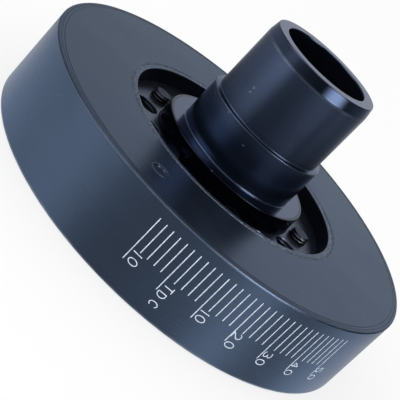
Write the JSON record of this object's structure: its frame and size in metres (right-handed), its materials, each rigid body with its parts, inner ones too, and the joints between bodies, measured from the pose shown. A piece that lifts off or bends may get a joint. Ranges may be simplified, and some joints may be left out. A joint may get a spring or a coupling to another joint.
{
  "type": "harmonic balancer",
  "caption": "Viscous crankshaft damper: steel cup with a welded cover, a degree scale on its rim, a floating inner ring and a stepped tubular hub",
  "frame": {"origin": "centre of the flat front face, which the part stands on", "axes": "+Z along the crank axis towards the engine, -Y towards the top-dead-centre mark of the scale"},
  "size_m": [0.17, 0.17, 0.0853],
  "materials": {
    "housing_steel": "satin slate-black coating over turned steel",
    "hub_steel": "glossy blue-black coating over turned steel",
    "ring_steel": "turned, oily",
    "screw_steel": "black oxide",
    "plug_steel": "satin",
    "plastic": "natural bearing plastic"
  },
  "bodies": {
    "damper_body": {"housing": "housing_steel", "cover_plate": "housing_steel", "fill_plug": "plug_steel", "vent_plug": "plug_steel", "hub": "hub_steel", "hub_screw_1": "screw_steel", "hub_screw_2": "screw_steel", "hub_screw_3": "screw_steel", "hub_screw_4": "screw_steel", "hub_screw_5": "screw_steel", "hub_screw_6": "screw_steel"},
    "floating_ring": {"inertia_ring": "ring_steel", "bearing_band": "plastic", "front_thrust_pad_1": "plastic", "front_thrust_pad_2": "plastic", "front_thrust_pad_3": "plastic", "front_thrust_pad_4": "plastic", "front_thrust_pad_5": "plastic", "front_thrust_pad_6": "plastic", "rear_thrust_pad_1": "plastic", "rear_thrust_pad_2": "plastic", "rear_thrust_pad_3": "plastic", "rear_thrust_pad_4": "plastic", "rear_thrust_pad_5": "plastic", "rear_thrust_pad_6": "plastic"}
  },
  "joints": [
    {"name": "ring_spin", "type": "hinge", "parent": "damper_body", "child": "floating_ring", "pos_m": [0, 0, 0.0176], "axis": [0, 0, 1], "continuous": true}
  ]
}
